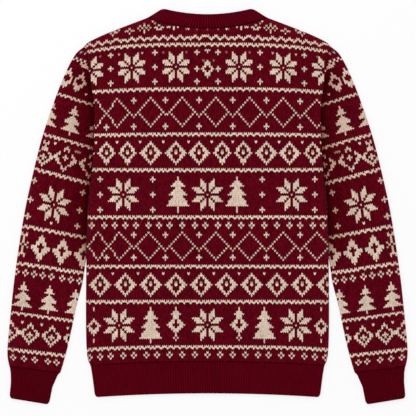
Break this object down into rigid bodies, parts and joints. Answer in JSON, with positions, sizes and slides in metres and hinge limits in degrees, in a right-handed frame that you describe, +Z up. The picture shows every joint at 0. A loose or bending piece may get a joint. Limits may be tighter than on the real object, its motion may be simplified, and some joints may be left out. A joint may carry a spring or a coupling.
{
  "type": "christmas sweater, laid flat",
  "caption": "Long-sleeved knitted Christmas sweater laid flat with its back up: patterned back, front and sleeves with a ribbed neckband, hem band and cuffs.",
  "frame": {"origin": "middle of the laid garment's outline, on the surface it lies on", "axes": "+X across the garment to its right as seen from above, +Y up towards the neck, +Z up off the surface"},
  "size_m": [0.76, 0.7532, 0.0097],
  "materials": {
    "patterned_knit": "matt dark red and cream two-colour knit with a soft nap",
    "rib_knit": "matt dark red one-by-one rib"
  },
  "bodies": {
    "root": {"back_panel": "patterned_knit", "front_panel": "patterned_knit", "sleeve_left": "patterned_knit", "sleeve_right": "patterned_knit", "neckband": "rib_knit", "hem_band": "rib_knit", "cuff_left": "rib_knit", "cuff_right": "rib_knit"}
  },
  "joints": []
}
